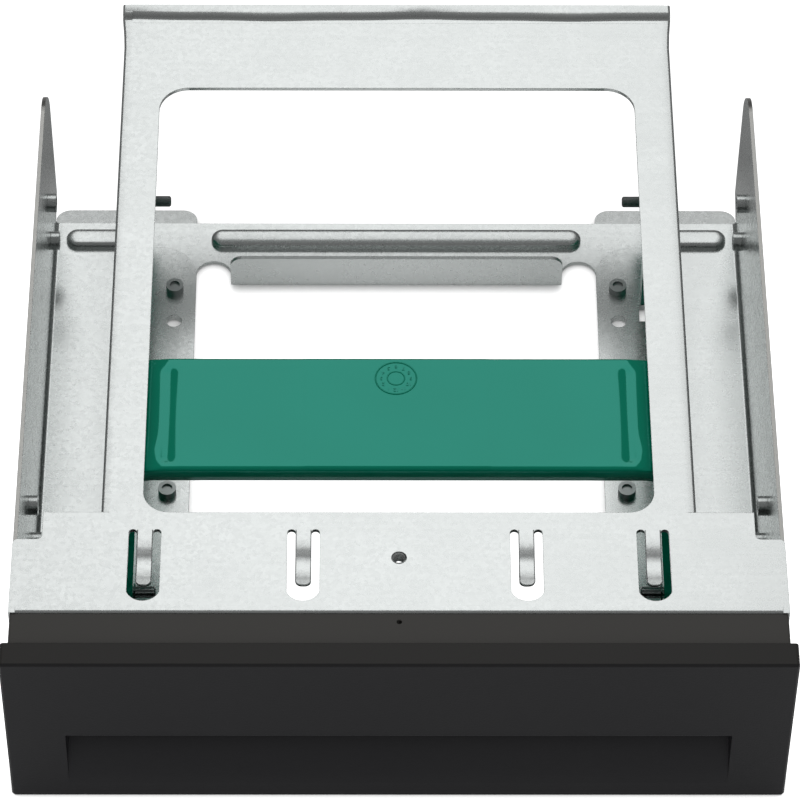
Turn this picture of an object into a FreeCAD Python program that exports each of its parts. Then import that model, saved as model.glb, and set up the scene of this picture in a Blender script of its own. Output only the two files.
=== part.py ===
"""Drive mounting bracket: a 3.5-inch drive held in a half-height 5.25-inch bay.

A folded sheet tray carries a folded sheet cage, riveted to it by two feet.
A moulded bezel closes the front, and a moulded carrier with four metal pins
grips the drive and slides out of the cage at the back.
Modelled with Y = 0 at the bezel's face and Z = 0 at the tray's underside, then
moved so that the origin is the middle of the base of the whole bracket.
Lengths are in millimetres. X is across, Y is towards the back, Z is up.
"""
import FreeCAD, Part

import math
import os

V = FreeCAD.Vector

# Overall sizes of the bay frame
bay_width = 146.0
wall_height = 40.5
sheet = 0.8
fold_radius = 0.8
bezel_depth_to_frame = 12.7

# Side screw holes of the tray, at the standard places of a 5.25-inch device
bay_screw_setback = 48.0
bay_screw_pitch_y = 79.25
bay_screw_low_z = 10.0
bay_screw_pitch_z = 11.84
collar_bore_radius = 1.25
collar_outer_radius = 1.95
collar_reach = 1.8

# Tray plate
plate_back_y = 145.4
window_side_inset = 15.0
window_front_y = 40.0
window_corner = 5.0
crossbar_setback = 17.8
crossbar_side_gap = 6.8
crossbar_flange_top = 9.8
crossbar_fold = 1.6
crossbar_corner = 2.5
relief_radius = 3.7
relief_setback = 10.7
tray_front_flange = 8.0
tray_flange_inset = 13.0
front_relief = 2.0

# Tray walls behind the plate
wall_back_y = 150.0
wall_toe_in = 0.2
wall_top_corner = 9.0
wall_low_corner = 4.0

# Raised beads of the tray plate
bead_setback = 4.9
bead_width = 4.7
bead_height = 1.5
bead_crown = 1.9
bead_skin = 0.35
long_bead_inset = 2.5
short_bead_inset = 3.3
short_bead_length = 12.3

# Rear tabs of the tray plate
tab_inner_x = 42.3
tab_side_gap = 0.8
tab_length = 4.1
tab_corner = 3.1
tab_drop_angle = 6.5

# Cage
strip_ear_setback = 6.4
strip_neck_inset = 5.5
ear_corner = 1.0
cage_front_flange = 8.0
cage_flange_inset = 1.3
cage_rail_width = 7.8
cage_window_back_y = 146.8
cage_window_front_corner = 5.0
cage_window_back_corner = 6.0
side_flange_start_gap = 1.2
side_flange_back_z = 3.2
mouth_start_y = 158.5
mouth_bend_y = 166.3
mouth_back_y = 169.2
mouth_side_flare = 0.55
mouth_side_part = 0.35
mouth_top_rise = 1.45
mouth_lip_part = 0.3
mouth_rise_part = 0.18

# Feet of the cage on the tray
foot_width = 14.5
foot_front_y = 44.0
foot_setback = 7.4
foot_front_corner = 4.0
foot_back_corner = 8.0
rivet_inset = 10.1
rivet_setback = 11.9
rivet_pitch = 54.0
foot_hole_setback = 8.5
foot_hole_radius = 1.6
latch_slot_side_gap = 0.4
latch_slot_width = 3.2
latch_slot_front_y = 117.6
latch_slot_length = 4.4

# Spring tongues and tapped hole of the front strip
outer_slot_x = 48.05
inner_slot_left_x = -18.05
inner_slot_right_x = 24.1
slot_width = 6.15
slot_front_gap = 2.8
slot_length = 16.8
slot_back_margin = 4.1
slot_end_sagitta = 2.1
tongue_width = 2.95
tongue_corner = 1.2
tongue_tip_setback = 11.8
tongue_drop = 1.9
tongue_root_setback = 1.3
tongue_low_setback = 9.1
strip_hole_setback = 6.7
strip_hole_radius = 1.45
strip_collar_radius = 2.2
strip_collar_depth = 2.0

# Bezel
bezel_overhang = 1.1
bezel_height = 42.7
bezel_drop = 0.6
bezel_rim_depth = 5.15
bezel_wall = 2.2
bezel_edge = 0.7
bezel_front_edge = 0.42
part_overlap = 0.5
collar_side_inset = 0.25
collar_top_inset = 0.3
collar_edge = 0.5
witness_hole_y = 10.8
witness_hole_radius = 0.5
witness_hole_depth = 0.9
scoop_side = 11.2
scoop_top_z = 19.5
scoop_bottom_z = 3.8
scoop_depth = 5.4
scoop_draft = 0.8
snap_x = 36.0
snap_width = 8.0
snap_thickness = 1.6
snap_barb = 1.4
snap_gap = 0.25
snap_reach = 3.0
rib_x = 18.0
rib_thickness = 1.2
rib_depth = 4.0

# Drive that the carrier holds
drive_half_width = 50.8
drive_hole_height = 6.35
drive_hole_pitch = 101.6
drive_clearance = 0.3

# Carrier
pin_front_y = 35.6
pin_z = 17.0
pin_radius = 1.13
pin_reach = 4.1
pin_tip_chamfer = 0.3
pin_root_size = 3.6
pin_shoulder = 0.2
pin_seat_depth = 3.3
pin_seat_gap = 0.03
carrier_side_gap = 0.5
carrier_foot_gap = 0.3
carrier_roof_gap = 0.7
carrier_skin = 2.0
rail_thickness = 4.1
rail_overhang = 8.0
rail_top_z = 24.0
rail_end_corner = 4.0
rail_step_z = 12.0
rail_step = 1.9
latch_tooth_length = 5.0
strap_front_y = 47.9
strap_length = 27.2
strap_lip = 3.2
strap_edge = 0.6
shoulder_radius = 8.0
upright_fillet = 6.5
boss_radius = 4.2
pocket_corner = 1.5
pocket_rib_pitch = 17.0

# Rivets
rivet_radius = 1.45
rivet_hole_gap = 0.05
rivet_head_radius = 1.8
rivet_head_height = 1.7
rivet_recess_radius = 1.05
rivet_recess_depth = 0.5
rivet_tail_radius = 2.2
rivet_tail_height = 0.4

# Sizes that follow from the ones above
half_bay = bay_width / 2
bezel_width = bay_width + 2 * bezel_overhang
scoop_half_width = bezel_width / 2 - scoop_side
tray_flange_half_width = half_bay - tray_flange_inset
cage_flange_half_width = half_bay - cage_flange_inset
strip_neck_half_width = half_bay - strip_neck_inset
short_bead_outer_x = half_bay - short_bead_inset
short_bead_inner_x = short_bead_outer_x - short_bead_length
outer_fold = fold_radius + sheet
cage_top = wall_height + sheet
bezel_bottom = -bezel_drop
bezel_top = bezel_bottom + bezel_height
screw_front_y = bezel_rim_depth + bay_screw_setback
crossbar_front_y = plate_back_y - crossbar_setback
relief_apex_y = plate_back_y - relief_setback
bead_y = plate_back_y - bead_setback
foot_back_y = plate_back_y - foot_setback
rivet_back_y = foot_back_y - rivet_setback
rivet_front_y = rivet_back_y - rivet_pitch
foot_hole_y = rivet_back_y - foot_hole_setback
pin_back_y = pin_front_y + drive_hole_pitch
rail_inner_x = drive_half_width + drive_clearance
rail_outer_x = rail_inner_x + rail_thickness
cage_half_width = rail_outer_x + carrier_side_gap + sheet
cage_window_half_width = cage_half_width - cage_rail_width
window_half_width = cage_half_width - window_side_inset
crossbar_half_width = window_half_width - crossbar_side_gap
long_bead_half_length = window_half_width - long_bead_inset
foot_inner_x = cage_half_width - foot_width
rivet_x = cage_half_width - rivet_inset
latch_slot_x = rail_inner_x - latch_slot_side_gap
pin_tip_x = rail_inner_x - pin_reach
pin_end_x = rail_inner_x + pin_seat_depth
slot_front_y = bezel_depth_to_frame + slot_front_gap
slot_back_y = slot_front_y + slot_length
strip_back_y = slot_back_y + slot_back_margin
strip_ear_back_y = strip_back_y - strip_ear_setback
strip_hole_y = slot_back_y - strip_hole_setback
tongue_bend_back_y = slot_back_y - tongue_root_setback
tongue_bend_front_y = slot_back_y - tongue_low_setback
tongue_tip_y = slot_back_y - tongue_tip_setback
rail_bottom_z = 2 * sheet + carrier_foot_gap
strap_top = wall_height - carrier_roof_gap
strap_back_y = strap_front_y + strap_length
rail_front_y = pin_front_y - rail_overhang
rail_back_y = pin_back_y + rail_overhang


def box(x0, x1, y0, y1, z0, z1):
    """Block between two corners."""
    return Part.makeBox(x1 - x0, y1 - y0, z1 - z0, V(x0, y0, z0))


def prism(points, direction):
    """Closed outline of corner points, pushed along a direction."""
    outline = Part.makePolygon([V(*p) for p in points + points[:1]])
    return Part.Face(outline).extrude(V(*direction))


def mirrored(shape):
    """The same shape on the other side of the middle plane."""
    return shape.mirror(V(0, 0, 0), V(1, 0, 0))


def both_sides(shape):
    """A right-hand shape and its left-hand twin."""
    return [shape, mirrored(shape)]


def edges_at(shape, axis, spots, reach=0.01):
    """Straight edges along an axis that pass through the given spots.

    A spot gives the two coordinates across the axis, in X, Y, Z order.
    """
    across = [i for i in range(3) if i != axis]
    found = []
    for edge in shape.Edges:
        ends = [v.Point for v in edge.Vertexes]
        if len(ends) != 2:
            continue
        for spot in spots:
            gap = max(abs(p[across[k]] - spot[k]) for p in ends for k in (0, 1))
            if gap < reach:
                found.append(edge)
                break
    return found


def rounded(shape, radius, axis, spots):
    """Round the straight edges along an axis at the given spots."""
    return shape.makeFillet(radius, edges_at(shape, axis, spots))


def hexagon_bar(start, end, across, y, z):
    """Hexagonal bar along X between two places, with a given size across its corners."""
    points = []
    for i in range(6):
        angle = math.radians(60 * i)
        points.append((start, y + across / 2 * math.cos(angle), z + across / 2 * math.sin(angle)))
    return prism(points, (end - start, 0, 0))


def rounded_block(x0, x1, y0, y1, z0, z1, front_corner, back_corner):
    """Upright block with rounded corners, for windows in a flat sheet."""
    block = box(x0, x1, y0, y1, z0, z1)
    block = rounded(block, front_corner, 2, [(x0, y0), (x1, y0)])
    return rounded(block, back_corner, 2, [(x0, y1), (x1, y1)])


def channel_wire(half_width, base, tip, y, thickness, radius):
    """Section of a folded channel across Y: a web at base, flanges to tip.

    The channel opens upwards where tip is above base, and else downwards.
    """
    way = 1.0 if tip > base else -1.0
    outer = radius + thickness
    sweep = math.sqrt(0.5)

    def at(x, height):
        return V(x, y, base + way * height)

    def bend(side, r):
        """Quarter arc of the fold, from its web end to its flange end."""
        cx = side * (half_width - outer)
        web = at(cx, outer - r)
        mid = at(cx + side * r * sweep, outer - r * sweep)
        flange = at(cx + side * r, outer)
        return Part.Arc(web, mid, flange).toShape(), web, flange

    height = abs(tip - base)
    edges = []
    outer_right, outer_web_r, outer_flange_r = bend(1, outer)
    outer_left, outer_web_l, outer_flange_l = bend(-1, outer)
    inner_right, inner_web_r, inner_flange_r = bend(1, radius)
    inner_left, inner_web_l, inner_flange_l = bend(-1, radius)
    tips = [at(s * (half_width - t), height) for s in (1, -1) for t in (0, thickness)]
    edges.append(Part.LineSegment(outer_web_l, outer_web_r).toShape())
    edges.append(outer_right)
    edges.append(Part.LineSegment(outer_flange_r, tips[0]).toShape())
    edges.append(Part.LineSegment(tips[0], tips[1]).toShape())
    edges.append(Part.LineSegment(tips[1], inner_flange_r).toShape())
    edges.append(inner_right)
    edges.append(Part.LineSegment(inner_web_r, inner_web_l).toShape())
    edges.append(inner_left)
    edges.append(Part.LineSegment(inner_flange_l, tips[3]).toShape())
    edges.append(Part.LineSegment(tips[3], tips[2]).toShape())
    edges.append(Part.LineSegment(tips[2], outer_flange_l).toShape())
    edges.append(outer_left)
    return Part.Wire(Part.__sortEdges__(edges))


def channel(stations, tip, radius=fold_radius):
    """Folded channel through stations of (y, half_width, base)."""
    parts = []
    for (y0, w0, b0), (y1, w1, b1) in zip(stations, stations[1:]):
        wires = [channel_wire(w0, b0, tip, y0, sheet, radius)]
        wires.append(channel_wire(w1, b1, tip, y1, sheet, radius))
        parts.append(Part.makeLoft(wires, True, True))
    return parts[0].fuse(parts[1:]) if len(parts) > 1 else parts[0]


def bead(x0, x1):
    """Outside and inside of a bead pressed up out of the tray plate.

    Its section has a flat crown and sloping sides, and each end is half a cone.
    """
    half = bead_width / 2
    start = x0 + half
    finish = x1 - half

    def bar(base, crown, low, high):
        """Straight part of the bead between its ends."""
        section = [(start, bead_y - base, low), (start, bead_y - crown, high)]
        section += [(start, bead_y + crown, high), (start, bead_y + base, low)]
        return prism(section, (finish - start, 0, 0))

    crown = bead_crown / 2
    ends = [Part.makeCone(half, crown, bead_height, V(x, bead_y, sheet)) for x in (start, finish)]
    raised = bar(half, crown, sheet, sheet + bead_height).fuse(ends)
    inner = half - bead_skin
    slope = (half - crown) / bead_height
    return raised, bar(inner, inner - slope * bead_height, 0.0, bead_height)


def screw_places():
    """Y and Z of the four bay screw holes of one side wall."""
    ys = (screw_front_y, screw_front_y + bay_screw_pitch_y)
    zs = (bay_screw_low_z, bay_screw_low_z + bay_screw_pitch_z)
    return [(y, z) for y in ys for z in zs]


def tray_walls():
    """Plate and side walls of the tray, with the free rear ends of the walls."""
    near = half_bay
    far = half_bay - wall_toe_in
    body = channel([(bezel_depth_to_frame, near, 0.0), (plate_back_y, near, 0.0)], wall_height)
    foot = [(near, plate_back_y, outer_fold), (far, wall_back_y, outer_fold)]
    foot += [(far - sheet, wall_back_y, outer_fold), (near - sheet, plate_back_y, outer_fold)]
    ear = prism(foot, (0, 0, wall_height - outer_fold))
    low = [(0, wall_back_y - wall_low_corner, outer_fold), (0, wall_back_y, outer_fold)]
    low += [(0, wall_back_y, outer_fold + wall_low_corner)]
    low_corner = prism(low, (bay_width, 0, 0))
    ear = ear.cut(low_corner)
    body = body.fuse(both_sides(ear))
    return body.cut(both_sides(wall_corner_cutter()))


def wall_corner_cutter():
    """What a wall's rounded top rear corner leaves out."""
    y = wall_back_y - wall_top_corner
    z = wall_height - wall_top_corner
    block = box(0, bay_width, y, wall_back_y, z, wall_height)
    return block.cut(Part.makeCylinder(wall_top_corner, bay_width, V(0, y, z), V(1, 0, 0)))


def tray_window():
    """Opening of the plate with the two round bend reliefs at its back."""
    back = crossbar_front_y + crossbar_fold + sheet
    w = window_half_width
    opening = rounded_block(-w, w, window_front_y, back, -1, sheet + 1, window_corner, 0.1)
    relief_x = crossbar_half_width + relief_radius
    relief_y = relief_apex_y - relief_radius
    relief = Part.makeCylinder(relief_radius, sheet + 2, V(relief_x, relief_y, -1))
    slot = box(crossbar_half_width, relief_x + relief_radius, window_front_y + 2 * window_corner,
               relief_y, -1, sheet + 1)
    return opening.fuse(both_sides(relief.fuse(slot)))


def crossbar_flange():
    """Upright flange at the back of the window, with its fold."""
    y = crossbar_front_y
    reach = y + sheet + crossbar_fold + relief_radius / 2
    outline = [(0, y, 0), (0, reach, 0), (0, reach, sheet), (0, y + sheet, sheet)]
    outline += [(0, y + sheet, crossbar_flange_top), (0, y, crossbar_flange_top)]
    bar = prism(outline, (2 * crossbar_half_width, 0, 0))
    bar.translate(V(-crossbar_half_width, 0, 0))
    bar = rounded(bar, crossbar_fold, 0, [(y + sheet, sheet)])
    bar = rounded(bar, crossbar_fold + sheet, 0, [(y, 0)])
    w = crossbar_half_width
    return rounded(bar, crossbar_corner, 1, [(-w, crossbar_flange_top), (w, crossbar_flange_top)])


def front_flange(base, tip, w):
    """Flange across the front of a sheet, folded from base towards tip, w to each side."""
    y = bezel_depth_to_frame
    way = 1.0 if tip > base else -1.0
    web = base + way * sheet
    reach = y + outer_fold + front_relief
    outline = [(0, y, base), (0, reach, base), (0, reach, web), (0, y + sheet, web)]
    outline += [(0, y + sheet, tip), (0, y, tip)]
    flange = prism(outline, (2 * w, 0, 0))
    flange.translate(V(-w, 0, 0))
    flange = rounded(flange, fold_radius, 0, [(y + sheet, web)])
    return rounded(flange, outer_fold, 0, [(y, base)])


def rear_tab():
    """Rounded tab behind the plate, tipped down a little, on the right side."""
    outer_x = half_bay - tab_side_gap
    slope = math.tan(math.radians(tab_drop_angle))
    back = plate_back_y + tab_length
    fall = tab_length * slope
    side = [(0, plate_back_y - sheet, 0), (0, plate_back_y, 0), (0, back, -fall)]
    side += [(0, back, sheet - fall), (0, plate_back_y, sheet), (0, plate_back_y - sheet, sheet)]
    slab = prism(side, (outer_x - tab_inner_x, 0, 0))
    slab.translate(V(tab_inner_x, 0, 0))
    front = plate_back_y - 2 * sheet
    plan = box(tab_inner_x, outer_x, front, back, -2 * sheet, 2 * sheet)
    plan = rounded(plan, tab_corner, 2, [(tab_inner_x, back), (outer_x, back)])
    return slab.common(plan)


def foot_holes(radius_rivet):
    """Rivet holes, screw holes and latch slot through the feet and the plate."""
    cuts = []
    depth = 4 * sheet
    for side in (-1, 1):
        for y in (rivet_front_y, rivet_back_y):
            cuts.append(Part.makeCylinder(radius_rivet, depth, V(side * rivet_x, y, -sheet)))
        cuts.append(Part.makeCylinder(foot_hole_radius, depth, V(side * rivet_x, foot_hole_y, -sheet)))
    slot_end = latch_slot_front_y + latch_slot_length
    cuts.append(box(latch_slot_x, latch_slot_x + latch_slot_width, latch_slot_front_y, slot_end,
                    -sheet, depth - sheet))
    return cuts


def make_tray():
    """Folded tray: plate, walls, window, crossbar, beads, tabs and collars."""
    tray = tray_walls()
    front = bezel_depth_to_frame
    w = tray_flange_half_width + front_relief
    tray = tray.cut(box(-w, w, front, front + outer_fold + front_relief, -1, outer_fold))
    tray = tray.fuse(front_flange(0.0, tray_front_flange, tray_flange_half_width))
    tray = tray.cut(tray_window())
    tray = tray.fuse([crossbar_flange()] + both_sides(rear_tab()))
    beads = [bead(-long_bead_half_length, long_bead_half_length)]
    beads.append(bead(short_bead_inner_x, short_bead_outer_x))
    beads.append(tuple(mirrored(s) for s in beads[1]))
    tray = tray.fuse([raised for raised, hollow in beads])
    tray = tray.cut([hollow for raised, hollow in beads])
    inner = half_bay - sheet
    collars = []
    bores = []
    for y, z in screw_places():
        start = V(inner - collar_reach, y, z)
        collars += both_sides(Part.makeCylinder(collar_outer_radius, collar_reach, start, V(1, 0, 0)))
        reach = collar_reach + sheet
        bore = Part.makeCylinder(collar_bore_radius, 2 * reach, start - V(reach / 2, 0, 0), V(1, 0, 0))
        bores += both_sides(bore)
    tray = tray.fuse(collars).cut(bores)
    tray = tray.cut(foot_holes(rivet_radius + rivet_hole_gap))
    return tray.removeSplitter()


def spring_slot(x):
    """U-shaped cut of the strip round a spring tongue."""
    half = slot_width / 2
    arm = (slot_width - tongue_width) / 4
    low = sheet
    body = box(x - half, x + half, slot_front_y + slot_end_sagitta, slot_back_y - arm,
               cage_top - 2 * low, cage_top + low)
    ends = []
    for side in (-1, 1):
        cx = x + side * (half - arm)
        ends.append(Part.makeCylinder(arm, 3 * low, V(cx, slot_back_y - arm, cage_top - 2 * low)))
    radius = (half ** 2 + slot_end_sagitta ** 2) / (2 * slot_end_sagitta)
    disc = Part.makeCylinder(radius, 3 * low, V(x, slot_front_y + radius, cage_top - 2 * low))
    nose = disc.common(box(x - half, x + half, slot_front_y, slot_front_y + slot_end_sagitta,
                           cage_top - 2 * low, cage_top + low))
    return body.fuse(ends + [nose])


def tongue_curve(level):
    """Curve of a tongue's face from its root to its lowest place, level being the face's root."""
    run = tongue_bend_back_y - tongue_bend_front_y
    turn = 2 * math.atan(tongue_drop / run)
    radius = run / math.sin(turn)
    middle_y = tongue_bend_back_y - radius * math.sin(turn / 2)
    middle_z = level - radius * (1 - math.cos(turn / 2))
    root = V(0, tongue_bend_back_y, level)
    lowest = V(0, tongue_bend_front_y, level - tongue_drop)
    return Part.Arc(root, V(0, middle_y, middle_z), lowest).toShape()


def spring_tongue(x):
    """Tongue that stays joined at the back, curves down and lifts again at its tip."""
    top = cage_top
    low = top - tongue_drop
    half = tongue_width / 2
    back = slot_back_y + sheet
    tip = low + sheet / 2
    edges = [tongue_curve(top), tongue_curve(top - sheet)]
    points = [(back, top), (tongue_bend_back_y, top)]
    edges.append(Part.LineSegment(*[V(0, *p) for p in points]).toShape())
    points = [(back, top - sheet), (tongue_bend_back_y, top - sheet)]
    edges.append(Part.LineSegment(*[V(0, *p) for p in points]).toShape())
    points = [(tongue_bend_front_y, low), (tongue_tip_y, tip)]
    edges.append(Part.LineSegment(*[V(0, *p) for p in points]).toShape())
    points = [(tongue_bend_front_y, low - sheet), (tongue_tip_y, tip - sheet)]
    edges.append(Part.LineSegment(*[V(0, *p) for p in points]).toShape())
    edges.append(Part.LineSegment(V(0, back, top), V(0, back, top - sheet)).toShape())
    edges.append(Part.LineSegment(V(0, tongue_tip_y, tip), V(0, tongue_tip_y, tip - sheet)).toShape())
    face = Part.Face(Part.Wire(Part.__sortEdges__(edges)))
    strip = face.extrude(V(tongue_width, 0, 0))
    strip.translate(V(x - half, 0, 0))
    plan = box(x - half, x + half, tongue_tip_y, back, low - 2 * sheet, top + sheet)
    plan = rounded(plan, tongue_corner, 2, [(x - half, tongue_tip_y), (x + half, tongue_tip_y)])
    return strip.common(plan)


def cage_shell():
    """Roof, side flanges and flared rear mouth of the cage."""
    start = strip_back_y - side_flange_start_gap
    stations = [(start, cage_half_width, cage_top), (mouth_start_y, cage_half_width, cage_top)]
    mid = cage_half_width + mouth_side_flare * mouth_side_part
    wide = cage_half_width + mouth_side_flare
    run = mouth_bend_y - mouth_start_y
    stations.append((mouth_start_y + run / 2, mid, cage_top))
    stations.append((mouth_bend_y, wide, cage_top))
    lip = mouth_back_y - mouth_bend_y
    stations.append((mouth_bend_y + lip * mouth_lip_part, wide, cage_top + mouth_top_rise * mouth_rise_part))
    stations.append((mouth_back_y, wide, cage_top + mouth_top_rise))
    return channel(stations, sheet)


def cage_feet():
    """The two feet, folded inwards at the foot of the side flanges."""
    w = cage_half_width
    foot = box(foot_inner_x, w, foot_front_y, foot_back_y, sheet, 2 * sheet)
    foot = foot.fuse(box(w - sheet, w, foot_front_y, foot_back_y, sheet, 2 * outer_fold))
    foot = foot.removeSplitter()
    foot = rounded(foot, fold_radius, 1, [(w - sheet, 2 * sheet)])
    foot = rounded(foot, outer_fold, 1, [(w, sheet)])
    foot = rounded(foot, foot_front_corner, 2, [(foot_inner_x, foot_front_y)])
    foot = rounded(foot, foot_back_corner, 2, [(foot_inner_x, foot_back_y)])
    return both_sides(foot)


def front_strip():
    """Front strip of the cage, full width over the tray walls."""
    front = bezel_depth_to_frame
    low = cage_top - sheet
    ears = box(-half_bay, half_bay, front, strip_ear_back_y, low, cage_top)
    ears = rounded(ears, ear_corner, 2, [(s * half_bay, strip_ear_back_y) for s in (-1, 1)])
    neck = box(-strip_neck_half_width, strip_neck_half_width, front, strip_back_y, low, cage_top)
    strip = ears.fuse(neck).removeSplitter()
    spots = [(s * strip_neck_half_width, strip_ear_back_y) for s in (-1, 1)]
    strip = rounded(strip, ear_corner, 2, spots)
    w = cage_flange_half_width
    strip = strip.cut(box(-w, w, front, front + outer_fold, low - sheet, cage_top + sheet))
    return strip.fuse(front_flange(cage_top, cage_top - cage_front_flange, w))


def make_cage():
    """Folded cage: strip with tongues, window, flanges, feet and mouth."""
    shell = cage_shell()
    w = cage_half_width + sheet
    shell = shell.cut(box(-w, w, strip_back_y - 2 * side_flange_start_gap, foot_front_y, 0,
                          wall_height - fold_radius))
    shell = shell.cut(box(-w, w, foot_back_y, mouth_back_y + sheet, 0, side_flange_back_z))
    shell = shell.cut(box(-w, w, foot_front_y - sheet, foot_back_y + sheet, 0, outer_fold + sheet))
    cage = shell.fuse(cage_feet() + [front_strip()])
    window = rounded_block(-cage_window_half_width, cage_window_half_width, strip_back_y,
                           cage_window_back_y, wall_height - sheet, cage_top + sheet,
                           cage_window_front_corner, cage_window_back_corner)
    cage = cage.cut(window)
    slots = [-outer_slot_x, inner_slot_left_x, inner_slot_right_x, outer_slot_x]
    cage = cage.cut([spring_slot(x) for x in slots])
    cage = cage.fuse([spring_tongue(x) for x in slots])
    spot = V(0, strip_hole_y, wall_height - strip_collar_depth)
    cage = cage.fuse(Part.makeCylinder(strip_collar_radius, strip_collar_depth, spot))
    cage = cage.cut(Part.makeCylinder(strip_hole_radius, 4 * strip_collar_depth,
                                      spot - V(0, 0, strip_collar_depth)))
    cage = cage.cut(foot_holes(rivet_radius + rivet_hole_gap))
    return cage.removeSplitter()


def scoop(grow, front):
    """Finger scoop of the bezel, or its inner skin when grown by a wall.

    Its face rolls in from the front on one arc and ends at a flat ceiling.
    """
    height = scoop_top_z - scoop_bottom_z
    radius = (height ** 2 + scoop_depth ** 2) / (2 * scoop_depth)
    angle = math.asin(height / radius)
    middle = V(0, radius, scoop_bottom_z)

    def on_arc(part):
        a = angle * part
        r = radius - grow
        return middle + V(0, -r * math.cos(a), r * math.sin(a))

    bottom = on_arc(0.0)
    ceiling_z = scoop_top_z + grow
    deep = on_arc(1.0)
    deep_top = V(0, deep.y, ceiling_z)
    edges = [Part.Arc(bottom, on_arc(0.5), deep).toShape()]
    if grow > 0:
        edges.append(Part.LineSegment(deep, deep_top).toShape())
    else:
        deep_top = deep
    front_top = V(0, front, ceiling_z)
    front_bottom = V(0, front, bottom.z)
    edges.append(Part.LineSegment(deep_top, front_top).toShape())
    edges.append(Part.LineSegment(front_top, front_bottom).toShape())
    if abs(bottom.y - front) > 1e-6:
        edges.append(Part.LineSegment(front_bottom, bottom).toShape())
    face = Part.Face(Part.Wire(Part.__sortEdges__(edges)))
    wide = scoop_half_width + grow + 1
    solid = face.extrude(V(2 * wide, 0, 0))
    solid.translate(V(-wide, 0, 0))
    w0 = scoop_half_width + grow
    w1 = w0 - scoop_draft
    deep_y = scoop_depth + grow
    slope = (w0 - w1) / scoop_depth
    wf = w0 - slope * front
    we = w0 - slope * deep_y
    plan = [(-wf, front, 0), (wf, front, 0), (we, deep_y, 0), (-we, deep_y, 0)]
    taper = prism(plan, (0, 0, bezel_height))
    return solid.common(taper)


def snap_hooks():
    """Four snap arms that hook behind the front flanges of cage and tray."""
    hooks = []
    flange_back = bezel_depth_to_frame + sheet
    end = flange_back + snap_reach
    upper = cage_top - cage_front_flange - snap_gap
    lower = tray_front_flange + snap_gap
    for x in (-snap_x, snap_x):
        for edge, way in ((upper, 1.0), (lower, -1.0)):
            arm_z = sorted((edge, edge - way * snap_thickness))
            arm = box(x - snap_width / 2, x + snap_width / 2, bezel_wall - part_overlap, end, *arm_z)
            barb_y = flange_back + snap_gap
            tip = edge + way * (snap_barb + snap_gap)
            outline = [(0, barb_y, edge), (0, barb_y, tip), (0, barb_y + snap_barb / 2, tip)]
            outline += [(0, end, edge)]
            barb = prism(outline, (snap_width, 0, 0))
            barb.translate(V(x - snap_width / 2, 0, 0))
            hooks.append(arm.fuse(barb))
    return hooks


def make_bezel():
    """Moulded bezel: rim, collar, finger scoop, hollow back and snap hooks."""
    half = bezel_width / 2
    rim = box(-half, half, 0, bezel_rim_depth, bezel_bottom, bezel_top)
    corners = [(s * half, z) for s in (-1, 1) for z in (bezel_bottom, bezel_top)]
    rim = rounded(rim, bezel_edge, 1, corners)
    front_edges = [e for e in rim.Edges if all(abs(v.Point.y) < 1e-6 for v in e.Vertexes)]
    rim = rim.makeChamfer(bezel_front_edge, front_edges)
    collar_half = half_bay - collar_side_inset
    collar_low = collar_top_inset
    collar_high = cage_top - collar_top_inset
    collar = box(-collar_half, collar_half, bezel_wall, bezel_depth_to_frame, collar_low, collar_high)
    corners = [(s * collar_half, z) for s in (-1, 1) for z in (collar_low, collar_high)]
    collar = rounded(collar, collar_edge, 1, corners)
    shell = rim.fuse(collar)
    inside = collar_half - bezel_wall
    cavity = box(-inside, inside, bezel_wall, bezel_depth_to_frame + 1,
                 collar_low + bezel_wall, collar_high - bezel_wall)
    shell = shell.cut(cavity)
    ribs = []
    for x in (-3 * rib_x, -rib_x, rib_x, 3 * rib_x):
        ribs.append(box(x - rib_thickness / 2, x + rib_thickness / 2, bezel_wall - part_overlap,
                        bezel_wall + rib_depth, scoop_top_z, collar_high - bezel_wall / 2))
    shell = shell.fuse(ribs + snap_hooks() + [scoop(bezel_wall, bezel_wall / 2)])
    shell = shell.cut(scoop(0.0, -1.0))
    hole = Part.makeCylinder(witness_hole_radius, bezel_wall,
                             V(0, witness_hole_y, collar_high - witness_hole_depth))
    return shell.cut(hole).removeSplitter()


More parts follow.
